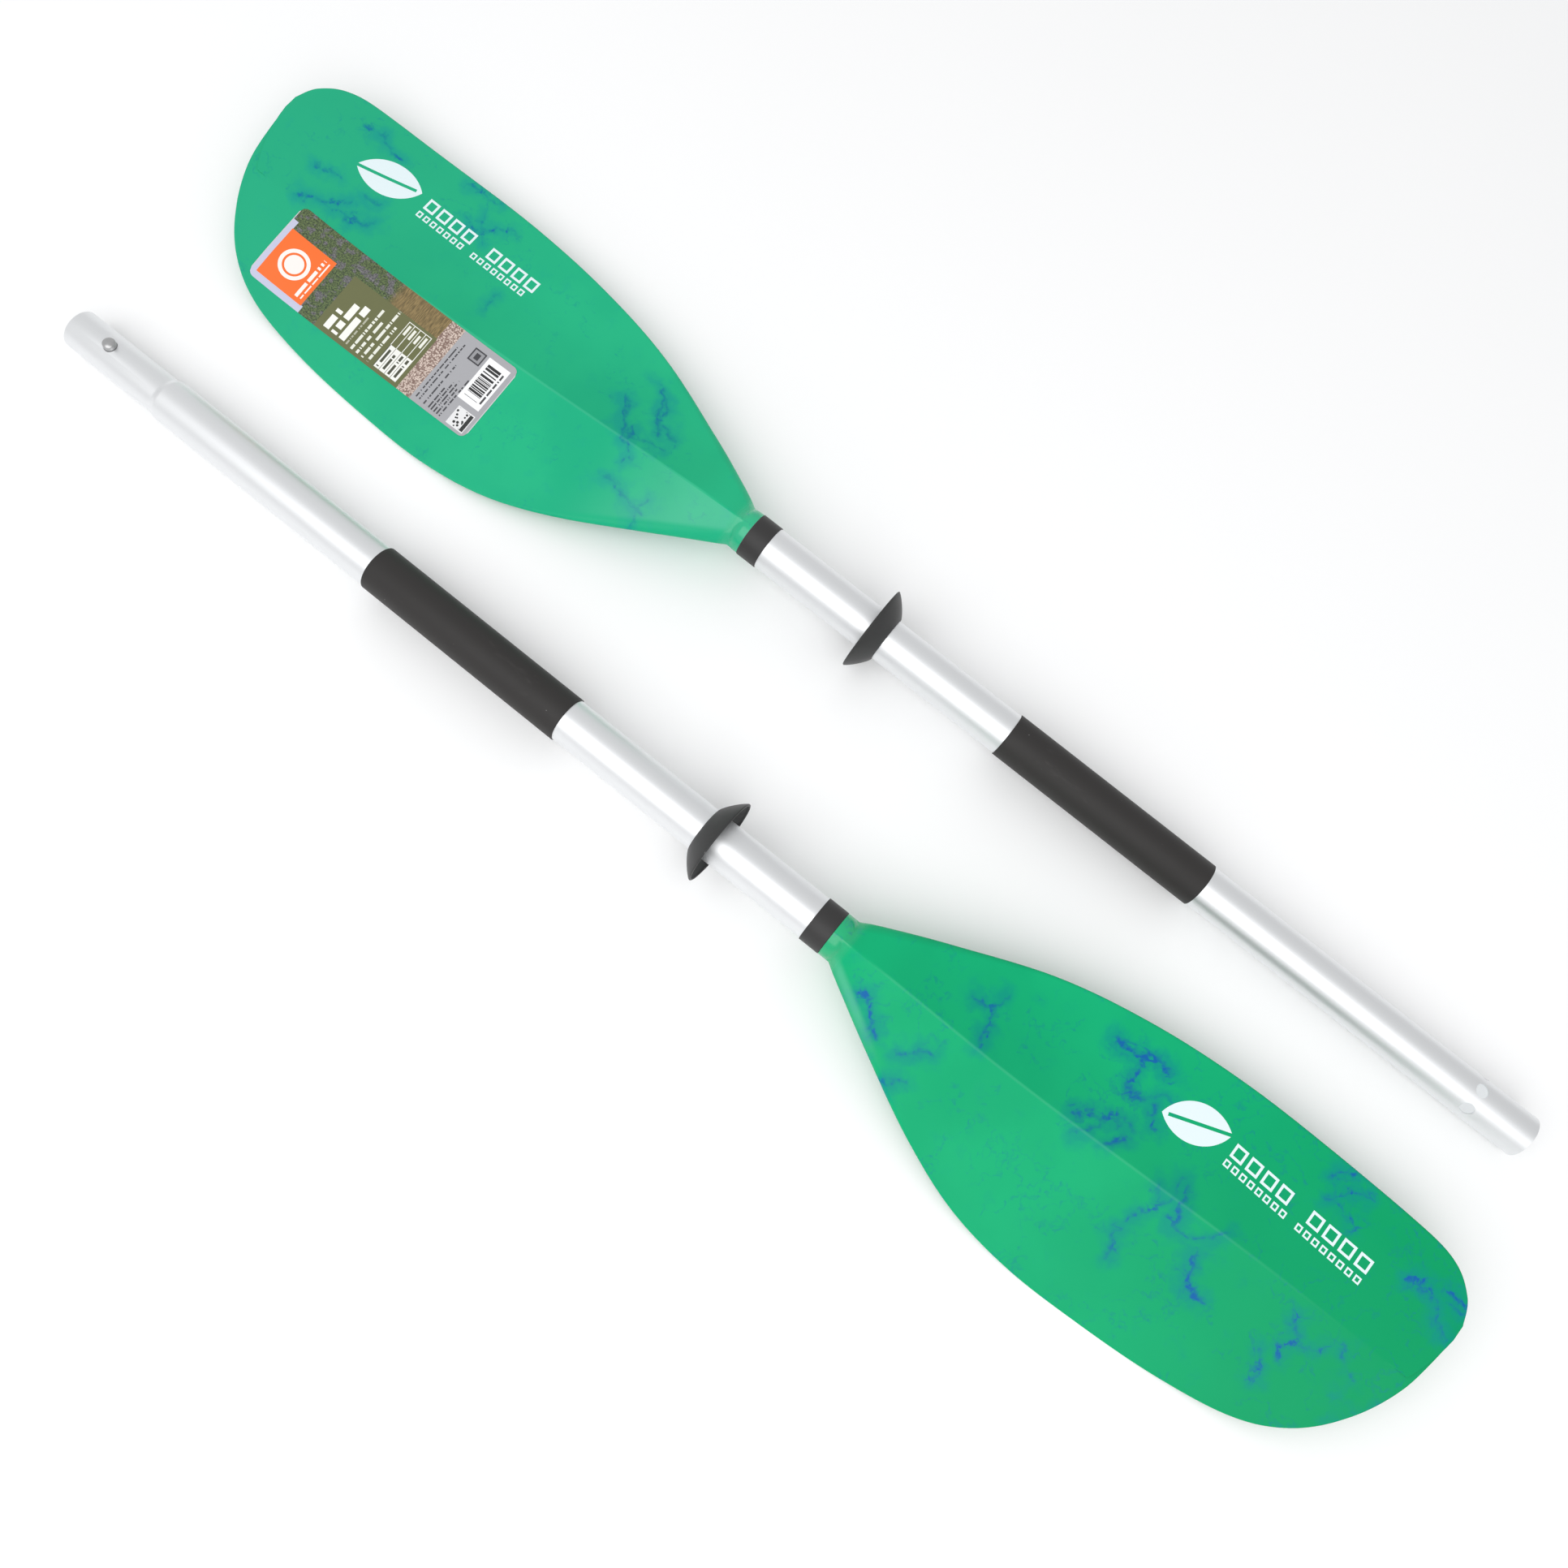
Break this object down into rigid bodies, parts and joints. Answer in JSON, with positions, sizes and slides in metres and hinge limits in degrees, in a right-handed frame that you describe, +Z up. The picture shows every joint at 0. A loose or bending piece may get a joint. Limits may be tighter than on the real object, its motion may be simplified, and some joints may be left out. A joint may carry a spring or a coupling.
{
  "type": "kayak paddle",
  "caption": "Take-apart kayak paddle lying in its halves: green spooned blades, aluminium shafts, black grip sleeves, rubber drip rings, and a snap button with feather holes.",
  "frame": {"origin": "on the floor, under the middle of the box round both halves", "axes": "+X along the shafts, from the male half's free end towards its blade; +Y from the male half towards the female half; +Z up, out of the blades' faces"},
  "size_m": [1.0374, 0.3392, 0.0643],
  "materials": {
    "blade_green": null,
    "satin_aluminium": "satin anodised",
    "band_black": "black sleeve, slight sheen",
    "grip_black": "black shrink sleeve, fine matt grain",
    "ring_rubber": "dark rubber",
    "button_steel": "plain steel",
    "spring_steel": "spring steel strip",
    "plug_foam": "closed-cell foam",
    "label_film": null
  },
  "bodies": {
    "left_half": {"left_blade": "blade_green", "left_shaft_tube": "satin_aluminium", "left_joint_band": "band_black", "left_tube_plug": "plug_foam", "left_blade_pin": "button_steel", "left_grip_sleeve": "grip_black", "product_label": "label_film"},
    "left_ring": {"left_drip_ring": "ring_rubber"},
    "right_carrier": {"right_grip_sleeve": "grip_black"},
    "right_half": {"right_blade": "blade_green", "right_shaft_tube": "satin_aluminium", "right_joint_band": "band_black", "right_tube_plug": "plug_foam", "right_blade_pin": "button_steel", "button_spring": "spring_steel"},
    "right_ring": {"right_drip_ring": "ring_rubber"},
    "button": {"snap_button": "button_steel"}
  },
  "joints": [
    {"name": "left_ring_slide", "type": "slide", "parent": "left_half", "child": "left_ring", "axis": [-0.9993, -0.0138, 0.0353], "range_m": [-0.0935, 0.083]},
    {"name": "male_half_seat", "type": "slide", "parent": "left_half", "child": "right_carrier", "axis": [-0.999, 0.0138, -0.0431], "range_m": [0, 0.071]},
    {"name": "feather_turn", "type": "hinge", "parent": "right_carrier", "child": "right_half", "pos_m": [0.09627, -0.0859, 0.0392], "axis": [0.999, -0.0138, 0.0431], "range_deg": [-60, 60]},
    {"name": "right_ring_slide", "type": "slide", "parent": "right_half", "child": "right_ring", "axis": [0.999, -0.0138, 0.0431], "range_m": [-0.106, 0.071]},
    {"name": "snap_button_press", "type": "slide", "parent": "right_half", "child": "button", "axis": [0.0426, -0.0355, -0.9985], "range_m": [0, 0.0042], "stiffness_N_per_m": 1200, "springref_m": -0.001, "deforming": ["button_spring"]}
  ]
}
